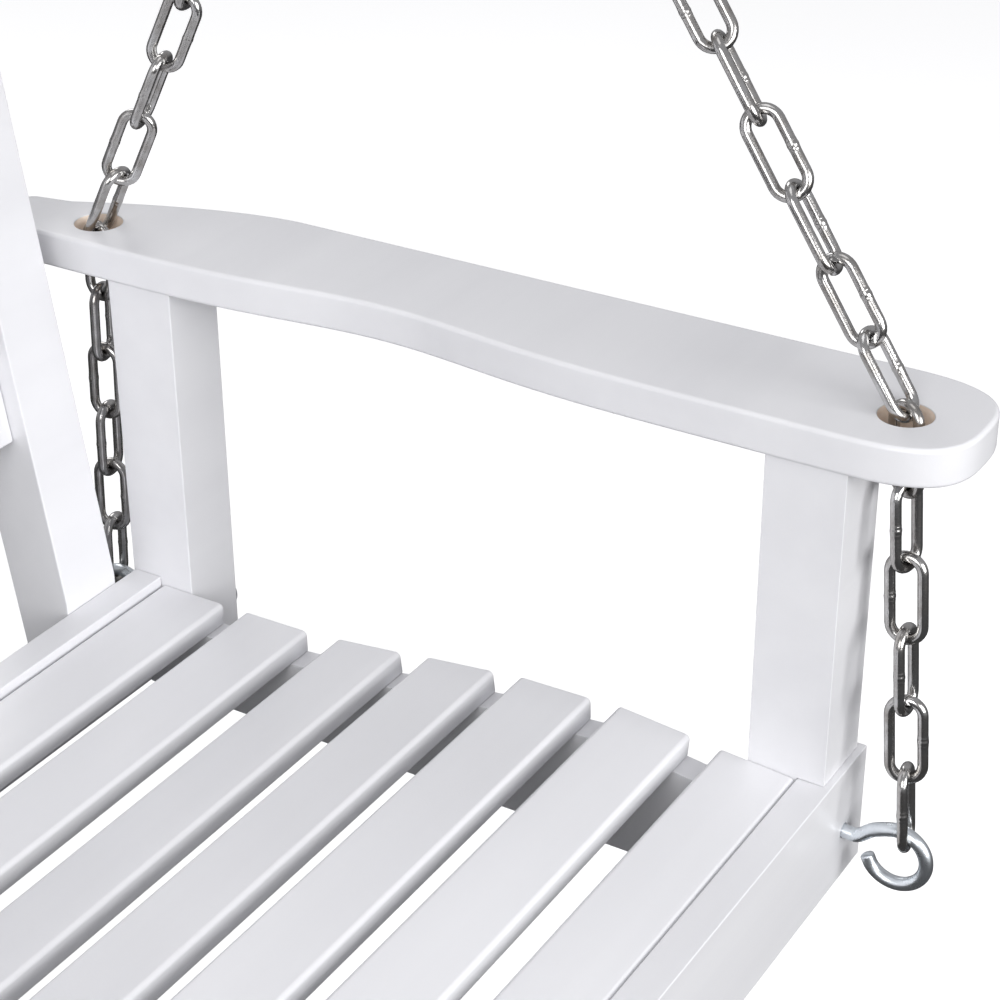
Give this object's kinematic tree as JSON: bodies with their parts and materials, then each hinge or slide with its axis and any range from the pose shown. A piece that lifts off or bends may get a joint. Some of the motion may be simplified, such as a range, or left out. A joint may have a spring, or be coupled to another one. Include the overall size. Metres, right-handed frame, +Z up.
{
  "type": "porch swing",
  "caption": "Two-seater painted wooden porch swing with slatted dished seat, slatted leaning back, shaped arms, screw hooks and chain legs that meet in rings.",
  "frame": {"origin": "middle of the line that the swing turns on, which runs through the lowest wire of both hanging rings", "axes": "+X towards the sitter's left hand, +Y towards the back of the seat, +Z up"},
  "size_m": [1.311, 0.6441, 0.7835],
  "materials": {
    "painted_wood": "satin white paint",
    "chain_steel": "bright plated chain",
    "zinc_steel": "zinc plated"
  },
  "bodies": {
    "hanger": {"hanging_ring_left": "zinc_steel", "hanging_ring_right": "zinc_steel"},
    "swing": {"front_rail": "painted_wood", "rear_rail": "painted_wood", "side_rail_left": "painted_wood", "side_rail_right": "painted_wood", "centre_rail": "painted_wood", "seat_slat_1": "painted_wood", "seat_slat_2": "painted_wood", "seat_slat_3": "painted_wood", "seat_slat_4": "painted_wood", "seat_slat_5": "painted_wood", "seat_slat_6": "painted_wood", "seat_slat_7": "painted_wood", "arm_post_front_left": "painted_wood", "arm_post_front_right": "painted_wood", "arm_post_rear_left": "painted_wood", "arm_post_rear_right": "painted_wood", "armrest_left": "painted_wood", "armrest_right": "painted_wood", "back_stile_left": "painted_wood", "back_stile_right": "painted_wood", "back_low_rail": "painted_wood", "back_top_rail": "painted_wood", "back_slat_1": "painted_wood", "back_slat_2": "painted_wood", "back_slat_3": "painted_wood", "back_slat_4": "painted_wood", "back_slat_5": "painted_wood", "back_slat_6": "painted_wood", "back_slat_7": "painted_wood", "back_slat_8": "painted_wood", "back_slat_9": "painted_wood", "back_slat_10": "painted_wood", "back_slat_11": "painted_wood", "post_screw_front_left_1": "zinc_steel", "post_screw_front_left_2": "zinc_steel", "post_screw_front_right_1": "zinc_steel", "post_screw_front_right_2": "zinc_steel", "post_screw_rear_left_1": "zinc_steel", "post_screw_rear_left_2": "zinc_steel", "post_screw_rear_right_1": "zinc_steel", "post_screw_rear_right_2": "zinc_steel", "stile_screw_left_1": "zinc_steel", "stile_screw_left_2": "zinc_steel", "stile_screw_right_1": "zinc_steel", "stile_screw_right_2": "zinc_steel", "chain_hook_front_left": "zinc_steel", "chain_hook_front_right": "zinc_steel", "chain_hook_rear_left": "zinc_steel", "chain_hook_rear_right": "zinc_steel", "chain_lower_front_left": "chain_steel", "chain_lower_front_right": "chain_steel", "chain_lower_rear_left": "chain_steel", "chain_lower_rear_right": "chain_steel", "chain_upper_front_left": "chain_steel", "chain_upper_front_right": "chain_steel", "chain_upper_rear_left": "chain_steel", "chain_upper_rear_right": "chain_steel"}
  },
  "joints": [
    {"name": "swing_hinge", "type": "hinge", "parent": "hanger", "child": "swing", "pos_m": [0, 0, 0], "axis": [1, 0, 0], "range_deg": [-25, 25]}
  ]
}
